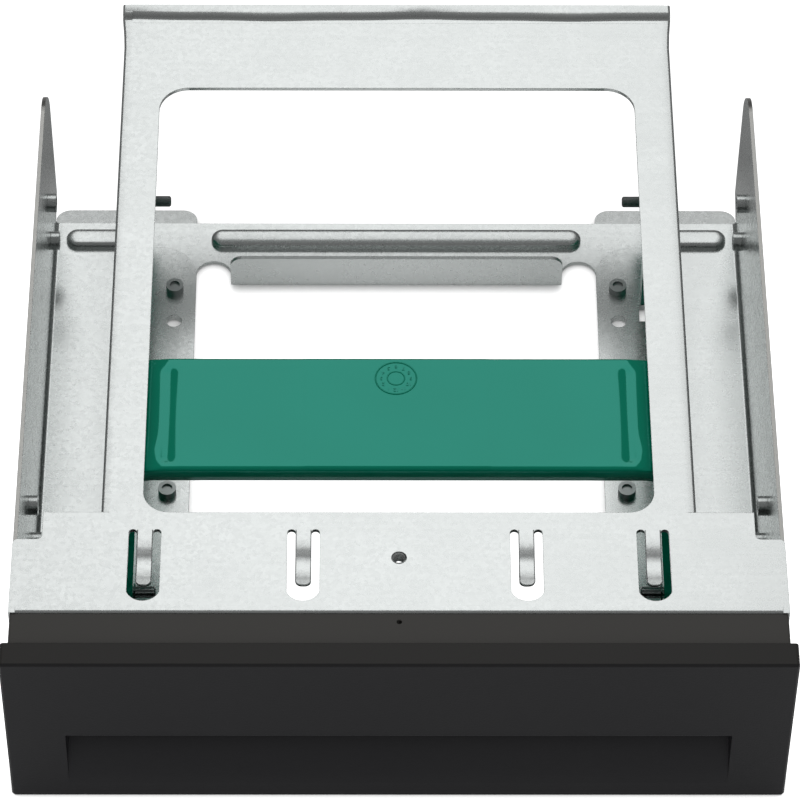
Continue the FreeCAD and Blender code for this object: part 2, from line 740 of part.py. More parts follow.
def carrier_side():
    """Right-hand rail of the carrier with its upright, bosses and pocket ribs.

    Below its step the rail is set back, so that the foot stays free beside it.
    """
    x0 = rail_inner_x
    x1 = rail_outer_x
    outline = [(x0, rail_front_y, rail_bottom_z), (x0, rail_back_y, rail_bottom_z)]
    outline += [(x0, rail_back_y, rail_top_z), (x0, strap_back_y, rail_top_z)]
    outline += [(x0, strap_back_y, strap_top), (x0, strap_front_y, strap_top)]
    outline += [(x0, strap_front_y, rail_top_z), (x0, rail_front_y, rail_top_z)]
    side = prism(outline, (x1 - x0, 0, 0))
    side = rounded(side, upright_fillet, 0, [(strap_front_y, rail_top_z), (strap_back_y, rail_top_z)])
    ends = [(y, z) for y in (rail_front_y, rail_back_y) for z in (rail_bottom_z, rail_top_z)]
    side = rounded(side, rail_end_corner, 0, ends)
    inset = carrier_skin
    y0 = rail_front_y + inset
    y1 = rail_back_y - inset
    z0 = rail_step_z + inset / 2
    z1 = rail_top_z - inset
    pocket = box(x0 + inset, x1 + 1, y0, y1, z0, z1)
    corners = [(y, z) for y in (y0, y1) for z in (z0, z1)]
    pocket = rounded(pocket, pocket_corner, 0, corners)
    keep = []
    for y in (pin_front_y, pin_back_y):
        keep.append(Part.makeCylinder(boss_radius, x1 - x0, V(x0, y, pin_z), V(1, 0, 0)))
    count = int((drive_hole_pitch - 2 * boss_radius) / pocket_rib_pitch)
    pitch = drive_hole_pitch / (count + 1)
    for i in range(1, count + 1):
        y = pin_front_y + i * pitch
        keep.append(box(x0, x1, y - inset / 4, y + inset / 4, rail_bottom_z, rail_top_z))
    for rib in keep:
        pocket = pocket.cut(rib)
    step = box(x0 - 1, x0 + rail_step, rail_front_y - 1, rail_back_y + 1, 0, rail_step_z)
    return side.cut([pocket, step])


def latch_tooth():
    """Tooth of the right-hand rail that stands behind the latch slot."""
    y = latch_slot_front_y + latch_slot_length
    x = rail_inner_x + rail_step + sheet
    return box(rail_inner_x, x, y, y + latch_tooth_length, rail_bottom_z, rail_step_z + sheet)


def make_carrier():
    """Moulded carrier: strap over the drive, shoulders and two rails."""
    roof = strap_top - carrier_skin
    x = rail_inner_x + carrier_skin / 2
    strap = box(-x, x, strap_front_y, strap_back_y, roof, strap_top)
    lip_z = strap_top - strap_lip
    front_lip = box(-x, x, strap_front_y, strap_front_y + carrier_skin, lip_z, strap_top)
    back_lip = box(-x, x, strap_back_y - carrier_skin, strap_back_y, lip_z, strap_top)
    carrier = strap.fuse([front_lip, back_lip, latch_tooth()] + both_sides(carrier_side()))
    carrier = carrier.removeSplitter()
    outer = [(s * rail_outer_x, strap_top) for s in (-1, 1)]
    carrier = rounded(carrier, shoulder_radius, 1, outer)
    rim = []
    for edge in carrier.Edges:
        ys = [v.Point.y for v in edge.Vertexes]
        zs = [v.Point.z for v in edge.Vertexes]
        level = min(zs) > strap_top - shoulder_radius - 0.01
        outside = edge.CenterOfMass.z > strap_top - 0.01 or edge.Curve.TypeId == "Part::GeomCircle"
        if level and outside and len(set(round(y, 3) for y in ys)) == 1:
            if min(abs(ys[0] - strap_front_y), abs(ys[0] - strap_back_y)) < 0.01:
                rim.append(edge)
    carrier = carrier.makeChamfer(strap_edge, rim)
    seats = []
    for side in (-1, 1):
        for y in (pin_front_y, pin_back_y):
            seats.append(hexagon_bar(side * rail_inner_x, side * (pin_end_x + pin_seat_gap),
                                     pin_root_size + 2 * pin_seat_gap, y, pin_z))
    return carrier.cut(seats).removeSplitter()


def make_pin(side, y):
    """Turned pin with a hexagonal root in a blind seat of the rail and a chamfered tip."""
    start = V(side * pin_tip_x, y, pin_z)
    out = V(side, 0, 0)
    tip = Part.makeCone(pin_radius - pin_tip_chamfer, pin_radius, pin_tip_chamfer, start, out)
    root_x = rail_inner_x - pin_shoulder
    shank = Part.makeCylinder(pin_radius, root_x - pin_tip_x - pin_tip_chamfer,
                              start + out * pin_tip_chamfer, out)
    root = hexagon_bar(side * root_x, side * pin_end_x, pin_root_size, y, pin_z)
    return tip.fuse([shank, root]).removeSplitter()


def make_rivet(side, y):
    """Rivet through foot and plate: ring head, shank and flattened tail."""
    x = side * rivet_x
    stack = 2 * sheet
    tail = Part.makeCylinder(rivet_tail_radius, rivet_tail_height, V(x, y, -rivet_tail_height))
    shank = Part.makeCylinder(rivet_radius, stack, V(x, y, 0))
    head = Part.makeCylinder(rivet_head_radius, rivet_head_height, V(x, y, stack))
    top = stack + rivet_head_height
    recess = Part.makeCylinder(rivet_recess_radius, rivet_recess_depth, V(x, y, top - rivet_recess_depth))
    return tail.fuse([shank, head]).cut(recess).removeSplitter()


parts = {
    "tray": make_tray(),
    "cage": make_cage(),
    "bezel": make_bezel(),
    "drive_carrier": make_carrier(),
}
for side, hand in ((-1, "left"), (1, "right")):
    parts["pin_front_" + hand] = make_pin(side, pin_front_y)
    parts["pin_rear_" + hand] = make_pin(side, pin_back_y)
    parts["rivet_front_" + hand] = make_rivet(side, rivet_front_y)
    parts["rivet_rear_" + hand] = make_rivet(side, rivet_back_y)

os.makedirs("parts", exist_ok=True)
to_origin = V(0, -mouth_back_y / 2, bezel_drop)
for name, shape in parts.items():
    shape.translate(to_origin)
    shape.exportStep(os.path.join("parts", name + ".step"))
    print(name, "valid", shape.isValid(), "solids", len(shape.Solids), "faces", len(shape.Faces),
          "volume", round(shape.Volume, 1))
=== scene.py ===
"""Looks of a drive mounting bracket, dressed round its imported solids.

Every solid keeps its mesh and gets a finish. The two folded sheets also get skins over their
beads, spring tongues, folds, mouth and thread. The carrier's strap gets a moulded skin with
sink marks, an insert panel and a date dial.
Sizes are in millimetres, measured from the bezel's face (Y) and the tray's underside (Z),
and `placed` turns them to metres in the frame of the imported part.
"""

import logging
import math
from dataclasses import dataclass
from enum import Enum
from typing import Optional

import bmesh
import bpy
import numpy as np
from mathutils import Matrix, Vector


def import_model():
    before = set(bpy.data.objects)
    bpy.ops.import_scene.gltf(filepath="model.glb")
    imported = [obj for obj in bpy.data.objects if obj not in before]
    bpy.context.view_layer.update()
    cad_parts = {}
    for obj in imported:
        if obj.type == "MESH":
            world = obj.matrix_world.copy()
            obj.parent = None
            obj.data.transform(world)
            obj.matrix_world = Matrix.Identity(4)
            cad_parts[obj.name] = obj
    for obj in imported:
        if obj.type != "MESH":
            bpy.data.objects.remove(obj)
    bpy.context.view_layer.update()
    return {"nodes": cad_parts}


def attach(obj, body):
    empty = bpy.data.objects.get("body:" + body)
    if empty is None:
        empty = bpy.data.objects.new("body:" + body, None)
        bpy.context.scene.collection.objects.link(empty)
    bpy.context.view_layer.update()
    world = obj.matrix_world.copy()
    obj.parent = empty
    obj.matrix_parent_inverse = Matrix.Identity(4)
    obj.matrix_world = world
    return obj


log = logging.getLogger("bracket")

MM = 0.001
PER_MM = 1000.0
MERGE_MM = 0.001
ORIGIN = np.array((0.0, -84.6, 0.6))
WHITE = "#FFFFFF"
MID_COLOUR = (0.5, 0.5, 0.5)
MONTHS = 12


class Body(Enum):
    """The rigid bodies that pieces ride on."""

    FRAME = "frame"
    CARRIER = "carrier"


def placed(points: np.ndarray) -> np.ndarray:
    """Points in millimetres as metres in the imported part's frame."""
    return (np.asarray(points, dtype=float) + ORIGIN) * MM


def linear(colour: str) -> tuple[float, float, float, float]:
    """Linear colour of an sRGB hex value.

    Args:
        colour: six hex digits after a hash mark.

    Returns:
        red, green, blue and an alpha of 1.
    """
    srgb = np.array([int(colour[i:i + 2], 16) for i in (1, 3, 5)]) / 255.0
    rgb = np.where(srgb <= 0.04045, srgb / 12.92, ((srgb + 0.055) / 1.055) ** 2.4)
    return (float(rgb[0]), float(rgb[1]), float(rgb[2]), 1.0)


def add_node(
        tree: bpy.types.NodeTree, kind: str, inputs: Optional[dict] = None,
        **settings: object) -> bpy.types.Node:
    """Add one node with its settings, values and links.

    Args:
        tree: the node tree that the node joins.
        kind: the node's type name.
        inputs: value, or output socket to link from, for each input by name or number.
        **settings: attributes of the node.

    Returns:
        the new node.
    """
    made = tree.nodes.new(kind)
    for name, value in settings.items():
        setattr(made, name, value)
    for name, value in (inputs or {}).items():
        if isinstance(value, bpy.types.NodeSocket):
            tree.links.new(value, made.inputs[name])
        else:
            made.inputs[name].default_value = value
    return made


def new_material(name: str) -> tuple[bpy.types.Material, bpy.types.NodeTree]:
    """Make a material with an empty node tree.

    Args:
        name: the material's name.

    Returns:
        the material and its tree.
    """
    made = bpy.data.materials.new(name)
    made.use_nodes = True
    made.node_tree.nodes.clear()
    return made, made.node_tree


def linked(name: str, data: bpy.types.ID) -> bpy.types.Object:
    """Put an object of some data into the scene, at the origin.

    Args:
        name: the object's name.
        data: its mesh, curve, lamp or camera.

    Returns:
        the new object.
    """
    made = bpy.data.objects.new(name, data)
    bpy.context.scene.collection.objects.link(made)
    return made


def grid_piece(name: str, points: np.ndarray, wrap: bool = False, flip: bool = False) -> bpy.types.Object:
    """Mesh object of a grid of points, with a quad between each four neighbours.

    Points that fall together, as at a pole, are merged into one.

    Args:
        name: the piece's name.
        points: array of shape (rows, columns, 3) in millimetres.
        wrap: True where the last column joins the first one.
        flip: True where rows and columns run so that the faces have to be turned outwards.

    Returns:
        the new object, at the origin with its place in its mesh.
    """
    rows, columns, _ = points.shape
    index = np.arange(rows * columns).reshape(rows, columns)
    if wrap:
        index = np.concatenate([index, index[:, :1]], axis=1)
    corners = (index[:-1, :-1], index[:-1, 1:], index[1:, 1:], index[1:, :-1])
    quads = np.stack(corners, axis=-1).reshape(-1, 4)
    if flip:
        quads = quads[:, ::-1]
    mesh = bpy.data.meshes.new(name)
    mesh.from_pydata(placed(points.reshape(-1, 3)).tolist(), [], quads.tolist())
    work = bmesh.new()
    work.from_mesh(mesh)
    bmesh.ops.remove_doubles(work, verts=work.verts, dist=MERGE_MM * MM)
    work.to_mesh(mesh)
    work.free()
    mesh.update()
    mesh.shade_smooth()
    return linked(name, mesh)


def quarter_turn(count: int) -> np.ndarray:
    """Evenly spaced angles from 0 to a right angle, in radians."""
    return np.radians(np.linspace(0.0, 90.0, count))


def full_turn(count: int) -> np.ndarray:
    """Evenly spaced angles round a circle, in radians, with the start named once."""
    return np.linspace(0.0, 2 * math.pi, count + 1)[:-1]


def smooth_path(
        at: tuple[float, ...], value: tuple[float, ...], steps: int) -> tuple[np.ndarray, np.ndarray]:
    """Smooth curve through given points.

    Between each two points it is the cubic that starts and ends there with the points' own
    slopes, and a point's slope is half the difference of its two neighbours.

    Args:
        at: the points' places.
        value: the curve's value at each place.
        steps: how many steps each stretch gets.

    Returns:
        the places and the values along the curve.
    """
    points = np.stack([np.asarray(at), np.asarray(value)], axis=-1)
    slopes = np.gradient(points, axis=0)
    t = np.linspace(0.0, 1.0, steps + 1)[:-1, None]
    start, finish = points[:-1, None], points[1:, None]
    leave, arrive = slopes[:-1, None], slopes[1:, None]
    curve = ((2 * t ** 3 - 3 * t ** 2 + 1) * start + (t ** 3 - 2 * t ** 2 + t) * leave
             + (3 * t ** 2 - 2 * t ** 3) * finish + (t ** 3 - t ** 2) * arrive)
    curve = np.concatenate([curve.reshape(-1, 2), points[-1:]])
    return curve[:, 0], curve[:, 1]


def ramp(x: np.ndarray, start: float, full: float) -> np.ndarray:
    """Height under a slope that grows evenly from 0 at `start` to 1 at `full` and stays.

    Args:
        x: the places.
        start: where the slope begins.
        full: where the slope is 1.

    Returns:
        the height at each place: a parabola, then a straight line.
    """
    eased = np.clip(x - start, 0.0, full - start)
    return eased ** 2 / (2 * (full - start)) + np.maximum(0.0, x - full)


@dataclass(frozen=True)
class GalvanisedSheet:
    """Hot-dip galvanised steel sheet with a minimised spangle, skin-passed and folded.

    It reads as a pale, slightly cool grey with a satin gloss, with a fine mottle of crystals
    just under a millimetre wide and faint marks along the rolling direction. The upper edges
    of the side walls are sheared through, and the bare steel there is duller and warmer.
    """

    name: str = "galvanised_sheet"
    light: str = "#EDF1F0"
    dull: str = "#E7EBEA"
    roughness: tuple[float, float] = (0.24, 0.29)
    spangle_mm: float = 0.7
    cloud_mm: float = 9.0
    cloud_detail: float = 3.0
    rolling_mm: tuple[float, float] = (0.8, 30.0)
    rolling_detail: float = 2.0
    rolling_share: float = 0.5
    tilt: float = 0.014
    edge_mm: float = 0.12
    edge_samples: int = 4
    sheared: str = "#B4B4B1"
    sheared_x_mm: tuple[float, float] = (72.1, 72.25)
    sheared_upward: tuple[float, float] = (0.3, 0.5)
    sheared_below_mm: float = 41.5
    sheared_blur_mm: float = 0.1

    def mottle(
            self, tree: bpy.types.NodeTree, place: bpy.types.NodeSocket,
            crystal: bpy.types.NodeSocket) -> bpy.types.NodeSocket:
        """Mottle of the zinc: each crystal's own value times a cloud, plus a share of rolling marks.

        Args:
            tree: the material's tree.
            place: the object coordinates.
            crystal: the crystals' random colours.

        Returns:
            the socket that carries the mottle.
        """
        along, across = (PER_MM / size for size in self.rolling_mm)
        grain = add_node(tree, "ShaderNodeSeparateColor", {"Color": crystal})
        cloud = add_node(tree, "ShaderNodeTexNoise", {
            "Vector": place, "Scale": PER_MM / self.cloud_mm, "Detail": self.cloud_detail})
        stretch = add_node(tree, "ShaderNodeMapping", {"Vector": place, "Scale": (across, along, across)})
        rolling = add_node(tree, "ShaderNodeTexNoise", {
            "Vector": stretch.outputs["Vector"], "Scale": 1.0, "Detail": self.rolling_detail})
        tone = add_node(tree, "ShaderNodeMath", {
            0: grain.outputs["Red"], 1: cloud.outputs["Fac"]}, operation="MULTIPLY")
        mottle = add_node(tree, "ShaderNodeMath", {
            0: rolling.outputs["Fac"], 1: self.rolling_share, 2: tone.outputs[0]}, operation="MULTIPLY_ADD")
        return mottle.outputs[0]

    def sheared_edge(
            self, tree: bpy.types.NodeTree, place: bpy.types.NodeSocket,
            normal: bpy.types.NodeSocket) -> bpy.types.NodeSocket:
        """Mask of the side walls' upper edges: as far out as a wall, facing up, and below the roof.

        Args:
            tree: the material's tree.
            place: the object coordinates.
            normal: the surface's direction.

        Returns:
            the socket that carries the mask, from 0 to 1.
        """
        spot = add_node(tree, "ShaderNodeSeparateXYZ", {"Vector": place})
        facing = add_node(tree, "ShaderNodeSeparateXYZ", {"Vector": normal})
        aside = add_node(tree, "ShaderNodeMath", {0: spot.outputs["X"]}, operation="ABSOLUTE")
        wall = add_node(tree, "ShaderNodeMapRange", {
            "Value": aside.outputs[0],
            "From Min": self.sheared_x_mm[0] * MM, "From Max": self.sheared_x_mm[1] * MM})
        upward = add_node(tree, "ShaderNodeMapRange", {
            "Value": facing.outputs["Z"],
            "From Min": self.sheared_upward[0], "From Max": self.sheared_upward[1]})
        low = add_node(tree, "ShaderNodeMapRange", {
            "Value": spot.outputs["Z"], "From Min": self.sheared_below_mm * MM,
            "From Max": (self.sheared_below_mm - self.sheared_blur_mm) * MM})
        edge = add_node(tree, "ShaderNodeMath", {
            0: wall.outputs["Result"], 1: upward.outputs["Result"]}, operation="MULTIPLY")
        mask = add_node(tree, "ShaderNodeMath", {
            0: edge.outputs[0], 1: low.outputs["Result"]}, operation="MULTIPLY")
        return mask.outputs[0]

    def tilted(self, tree: bpy.types.NodeTree, crystal: bpy.types.NodeSocket) -> bpy.types.NodeSocket:
        """Direction of the surface: rounded at edges, with a small tilt of each crystal.

        Args:
            tree: the material's tree.
            crystal: the crystals' random colours.

        Returns:
            the socket that carries the direction.
        """
        edge = add_node(tree, "ShaderNodeBevel", {"Radius": self.edge_mm * MM}, samples=self.edge_samples)
        turn = add_node(tree, "ShaderNodeVectorMath", {0: crystal, 1: MID_COLOUR}, operation="SUBTRACT")
        scaled = add_node(tree, "ShaderNodeVectorMath", {
            0: turn.outputs[0], "Scale": self.tilt}, operation="SCALE")
        tipped = add_node(tree, "ShaderNodeVectorMath", {
            0: edge.outputs[0], 1: scaled.outputs[0]}, operation="ADD")
        normal = add_node(tree, "ShaderNodeVectorMath", {0: tipped.outputs[0]}, operation="NORMALIZE")
        return normal.outputs[0]

    def material(self) -> bpy.types.Material:
        """The sheet's material, with crystals, clouds and rolling marks in object space.

        Returns:
            the new material.
        """
        made, tree = new_material(self.name)
        coordinates = add_node(tree, "ShaderNodeTexCoord").outputs
        place = coordinates["Object"]
        crystal = add_node(tree, "ShaderNodeTexVoronoi", {
            "Vector": place, "Scale": PER_MM / self.spangle_mm}).outputs["Color"]
        mottle = self.mottle(tree, place, crystal)
        zinc = add_node(tree, "ShaderNodeMix", {
            "Factor": mottle, "A": linear(self.dull), "B": linear(self.light)}, data_type="RGBA")
        colour = add_node(tree, "ShaderNodeMix", {
            "Factor": self.sheared_edge(tree, place, coordinates["Normal"]),
            "A": zinc.outputs["Result"], "B": linear(self.sheared)}, data_type="RGBA")
        rough = add_node(tree, "ShaderNodeMapRange", {
            "Value": mottle, "To Min": self.roughness[1], "To Max": self.roughness[0]})
        skin = add_node(tree, "ShaderNodeBsdfPrincipled", {
            "Base Color": colour.outputs["Result"], "Metallic": 1.0,
            "Roughness": rough.outputs["Result"], "Normal": self.tilted(tree, crystal)})
        add_node(tree, "ShaderNodeOutputMaterial", {"Surface": skin.outputs["BSDF"]})
        return made


@dataclass(frozen=True)
class BlackMoulding:
    """ABS moulded black in a spark-eroded tool: soft, matt and finely pebbled.

    The collar behind the rim is smoother in the tool, so it looks a little lighter and warmer.
    Faces that look up are painted a little lighter, a painted highlight that stands in for the
    overhead light. The pebbles scatter most of the gloss, so its level is lower than smooth ABS has.
    """

    name: str = "black_abs"
    body: str = "#18181B"
    worn: str = "#1C1C1E"
    # Colour painted on faces that look up, a painted highlight of the overhead light.
    painted_top_light: str = "#272625"
    smooth: str = "#383735"
    upward: tuple[float, float] = (0.6, 0.9)
    rim_depth_mm: float = 5.15
    roughness: float = 0.45
    ior: float = 1.5
    gloss: float = 0.2
    cloud_mm: float = 30.0
    pebble_mm: float = 0.45
    pebble_height_mm: float = 0.02
    detail: float = 2.0
    edge_mm: float = 0.25
    edge_samples: int = 4

    def material(self) -> bpy.types.Material:
        """The moulding's material, with its pebble as a bump in object space.

        Returns:
            the new material.
        """
        made, tree = new_material(self.name)
        coordinates = add_node(tree, "ShaderNodeTexCoord").outputs
        place = coordinates["Object"]
        pebble = add_node(tree, "ShaderNodeTexNoise", {
            "Vector": place, "Scale": PER_MM / self.pebble_mm, "Detail": self.detail})
        cloud = add_node(tree, "ShaderNodeTexNoise", {
            "Vector": place, "Scale": PER_MM / self.cloud_mm, "Detail": self.detail})
        plain = add_node(tree, "ShaderNodeMix", {
            "Factor": cloud.outputs["Fac"], "A": linear(self.body), "B": linear(self.worn)},
            data_type="RGBA")
        # Painted highlight: faces that look up are mixed towards a lighter colour, in place of overhead
        # light.
        facing = add_node(tree, "ShaderNodeSeparateXYZ", {"Vector": coordinates["Normal"]})
        painted_top_light_share = add_node(tree, "ShaderNodeMapRange", {
            "Value": facing.outputs["Z"], "From Min": self.upward[0], "From Max": self.upward[1]})
        rim = add_node(tree, "ShaderNodeMix", {
            "Factor": painted_top_light_share.outputs["Result"], "A": plain.outputs["Result"], "B": linear(self.painted_top_light)},
            data_type="RGBA")
        depth = add_node(tree, "ShaderNodeSeparateXYZ", {"Vector": place}).outputs["Y"]
        rim_end = (self.rim_depth_mm + float(ORIGIN[1])) * MM
        behind = add_node(tree, "ShaderNodeMath", {0: depth, 1: rim_end}, operation="GREATER_THAN")
        colour = add_node(tree, "ShaderNodeMix", {
            "Factor": behind.outputs[0], "A": rim.outputs["Result"], "B": linear(self.smooth)},
            data_type="RGBA")
        edge = add_node(tree, "ShaderNodeBevel", {"Radius": self.edge_mm * MM}, samples=self.edge_samples)
        bump = add_node(tree, "ShaderNodeBump", {
            "Height": pebble.outputs["Fac"], "Distance": self.pebble_height_mm * MM,
            "Normal": edge.outputs[0]})
        skin = add_node(tree, "ShaderNodeBsdfPrincipled", {
            "Base Color": colour.outputs["Result"], "Roughness": self.roughness, "IOR": self.ior,
            "Specular IOR Level": self.gloss, "Normal": bump.outputs["Normal"]})
        add_node(tree, "ShaderNodeOutputMaterial", {"Surface": skin.outputs["BSDF"]})
        return made


@dataclass(frozen=True)
class GreenMoulding:
    """Green polycarbonate moulded in a polished tool: smooth, glossy and a little cloudy.

    It is a deep, bluish green. Its clear, strong gloss picks up the green below it, so a face
    that mirrors the light turns paler and bluer and the others stay dark.
    """

    name: str = "green_polycarbonate"
    body: str = "#006149"
    cloudy: str = "#006952"
    roughness: float = 0.09
    ior: float = 1.67
    gloss: float = 1.0
    gloss_tint: str = "#7DFFF1"
    flow_mm: float = 22.0
    flow_detail: float = 2.0
    ripple_mm: float = 9.0
    ripple_detail: float = 1.0
    ripple_height_mm: float = 0.006

    def material(self) -> bpy.types.Material:
        """The moulding's material, with slow flow clouds and a faint ripple in its gloss.

        Returns:
            the new material.
        """
        made, tree = new_material(self.name)
        place = add_node(tree, "ShaderNodeTexCoord").outputs["Object"]
        flow = add_node(tree, "ShaderNodeTexNoise", {
            "Vector": place, "Scale": PER_MM / self.flow_mm, "Detail": self.flow_detail})
        ripple = add_node(tree, "ShaderNodeTexNoise", {
            "Vector": place, "Scale": PER_MM / self.ripple_mm, "Detail": self.ripple_detail})
        colour = add_node(tree, "ShaderNodeMix", {
            "Factor": flow.outputs["Fac"], "A": linear(self.body), "B": linear(self.cloudy)},
            data_type="RGBA")
        bump = add_node(tree, "ShaderNodeBump", {
            "Height": ripple.outputs["Fac"], "Distance": self.ripple_height_mm * MM})
        skin = add_node(tree, "ShaderNodeBsdfPrincipled", {
            "Base Color": colour.outputs["Result"], "Roughness": self.roughness, "IOR": self.ior,
            "Specular IOR Level": self.gloss, "Specular Tint": linear(self.gloss_tint),
            "Normal": bump.outputs["Normal"]})
        add_node(tree, "ShaderNodeOutputMaterial", {"Surface": skin.outputs["BSDF"]})
        return made


@dataclass(frozen=True)
class PlatedSteel:
    """Zinc-plated steel, turned or headed: grey and half bright, with fine tool marks."""

    name: str
    body: str
    roughness: float
    roughness_spread: float = 0.06
    mark_mm: float = 0.35
    mark_detail: float = 2.0
    mark_height_mm: float = 0.004

    def material(self) -> bpy.types.Material:
        """The fastener's material, with fine tool marks as a bump.

        Returns:
            the new material.
        """
        made, tree = new_material(self.name)
        place = add_node(tree, "ShaderNodeTexCoord").outputs["Object"]
        marks = add_node(tree, "ShaderNodeTexNoise", {
            "Vector": place, "Scale": PER_MM / self.mark_mm, "Detail": self.mark_detail})
        rough = add_node(tree, "ShaderNodeMapRange", {
            "Value": marks.outputs["Fac"], "To Min": self.roughness - self.roughness_spread,
            "To Max": self.roughness + self.roughness_spread})
        bump = add_node(tree, "ShaderNodeBump", {
            "Height": marks.outputs["Fac"], "Distance": self.mark_height_mm * MM})
        skin = add_node(tree, "ShaderNodeBsdfPrincipled", {
            "Base Color": linear(self.body), "Metallic": 1.0,
            "Roughness": rough.outputs["Result"], "Normal": bump.outputs["Normal"]})
        add_node(tree, "ShaderNodeOutputMaterial", {"Surface": skin.outputs["BSDF"]})
        return made


def dress(
        nodes: dict[str, bpy.types.Object], names: tuple[str, ...],
        material: bpy.types.Material) -> None:
    """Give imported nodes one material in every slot.

    Args:
        nodes: the frame's objects by node name.
        names: the nodes to dress.
        material: the finish.
    """
    for name in names:
        for slot in nodes[name].material_slots:
            slot.material = material
        log.info("%s wears %s", name, material.name)


@dataclass
class FoldedSheets:
    """The tray and the cage, both folded from galvanised sheet.

    Thin skins over their solids give the soft sections of the press work: the tray's beads,
    and the cage's spring tongues, rail folds, front fold, mouth and thread. A skin stands a
    little proud of its solid.
    """

    finish: GalvanisedSheet = GalvanisedSheet()
    sheet: float = 0.8
    roof_z: float = 41.3
    arc_points: int = 9
    bead_y: float = 140.5
    bead_height: float = 1.58
    bead_reach: float = 2.45
    bead_power: float = 0.55
    bead_sunk: float = 0.03
    bead_axes: tuple[tuple[str, float, float], ...] = (
        ("bead_left", -67.35, -59.75), ("bead_middle", -36.65, 36.65), ("bead_right", 59.75, 67.35))
    bead_rows: int = 41
    bead_end_points: int = 33
    bead_step: float = 1.5
    tongue_x: tuple[float, ...] = (-48.05, -18.05, 24.1, 48.05)
    tongue_half: float = 1.5
    tongue_corner: float = 1.2
    tongue_path_y: tuple[float, ...] = (
        32.2, 31.0, 30.0, 29.0, 28.0, 27.0, 26.0, 25.0, 24.0, 23.0, 21.8, 20.6, 19.35)
    tongue_path_drop: tuple[float, ...] = (
        -0.02, -0.02, 0.0, 0.09, 0.235, 0.44, 0.66, 0.80, 0.83, 0.76, 0.58, 0.35, 0.12)
    tongue_skirt: float = 0.3
    tongue_steps: int = 8
    tongue_columns: int = 15
    rail_x: float = 56.5
    rail_y: tuple[float, ...] = (36.42, 158.5, 162.4, 166.0, 166.25, 166.5, 166.75, 167.0, 167.6, 169.17)
    rail_flare: tuple[float, ...] = (0.0, 0.0, 0.1925, 0.53, 0.55, 0.55, 0.55, 0.55, 0.55, 0.55)
    rail_rise: tuple[float, ...] = (0.0, 0.0, 0.0, 0.01, 0.1, 0.45, 0.82, 1.0, 1.15, 1.43)
    rail_fold: float = 0.5
    rail_skirt: float = 1.3
    rail_reach: float = 2.0
    rail_proud_x: float = 0.02
    rail_proud_z: float = 0.015
    rail_stations: int = 60
    mouth_start_y: float = 165.3
    mouth_first: int = 3
    mouth_level_rise: float = 1.1
    mouth_wave: float = 0.22
    mouth_wave_length: float = 62.0
    mouth_wave_phase: float = 1.0
    mouth_overtone: int = 3
    mouth_proud: float = 0.016
    mouth_columns: int = 161
    hole_y: float = 25.6
    hole_radius: float = 1.42
    thread_depth: float = 0.4
    thread_pitch: float = 0.5
    thread_z: tuple[float, float] = (38.52, 41.1)
    thread_rows: int = 53
    thread_columns: int = 40
    fold_x: float = 71.68
    fold_y: float = 12.705
    fold_back_y: float = 14.8
    fold_radius: float = 0.65
    fold_proud: float = 0.015
    fold_sunk: float = 0.01
    fold_skirt: float = 1.2
    fold_columns: int = 120

    def bead_skin(self, name: str, start: float, finish: float) -> bpy.types.Object:
        """Skin of a bead pressed up out of the tray, rounded where the press bent the sheet.

        Distance from the axis and height over the plate are the powered cosine and sine of
        one angle, which gives a broad crown and a steep foot, at the round ends as well. The
        columns run round the axis, the rows away from it.

        Args:
            name: the piece's name.
            start: where the axis starts, across the bracket.
            finish: where the axis ends.

        Returns:
            the skin as one piece.
        """
        lean = np.radians(np.linspace(90.0, 0.0, self.bead_rows))
        away = self.bead_reach * np.cos(lean) ** self.bead_power
        rise = self.bead_height * np.sin(lean) ** self.bead_power
        turn = np.linspace(0.0, math.pi, self.bead_end_points)
        run = np.linspace(0.0, 1.0, int((finish - start) / self.bead_step))[1:-1]
        zero = np.zeros(run.size)
        base_x = np.concatenate([np.full(turn.size, finish), finish + (start - finish) * run,
                                 np.full(turn.size, start), start + (finish - start) * run])
        way_x = np.concatenate([np.sin(turn), zero, -np.sin(turn), zero])
        way_y = np.concatenate([-np.cos(turn), zero + 1.0, np.cos(turn), zero - 1.0])
        x = base_x[None, :] + away[:, None] * way_x[None, :]
        y = self.bead_y + away[:, None] * way_y[None, :]
        z = np.repeat((self.sheet - self.bead_sunk + rise)[:, None], x.shape[1], axis=1)
        return grid_piece(name, np.stack([x, y, z], axis=-1), wrap=True, flip=True)

    def tongue_skin(self, name: str, middle: float) -> bpy.types.Object:
        """Skin of a spring tongue: it sinks from its root to a soft valley and lifts again.

        The side view is the smooth path through a few places. The plan is straight with two
        round corners at the tip (the half width falls off as a quarter circle), and a skirt
        hangs down round it as the sheet's cut edge.

        Args:
            name: the piece's name.
            middle: where the tongue's middle line lies across the bracket.

        Returns:
            the skin as one piece.
        """
        y, drop = smooth_path(self.tongue_path_y, self.tongue_path_drop, self.tongue_steps)
        tip = self.tongue_path_y[-1]
        into = np.clip(tip + self.tongue_corner - y, 0.0, self.tongue_corner)
        half = self.tongue_half - self.tongue_corner + np.sqrt(self.tongue_corner ** 2 - into ** 2)
        across = np.linspace(-1.0, 1.0, self.tongue_columns)
        x = middle + half[:, None] * across[None, :]
        z = np.repeat((self.roof_z - drop)[:, None], across.size, axis=1)
        top = np.stack([x, np.repeat(y[:, None], across.size, axis=1), z], axis=-1)
        down = np.array([0.0, 0.0, -self.tongue_skirt])
        top = np.concatenate([top[:, :1] + down, top, top[:, -1:] + down], axis=1)
        front = top[-1:].copy()
        front[..., 2] = top[-1, 0, 2]
        return grid_piece(name, np.concatenate([top, front], axis=0), flip=True)

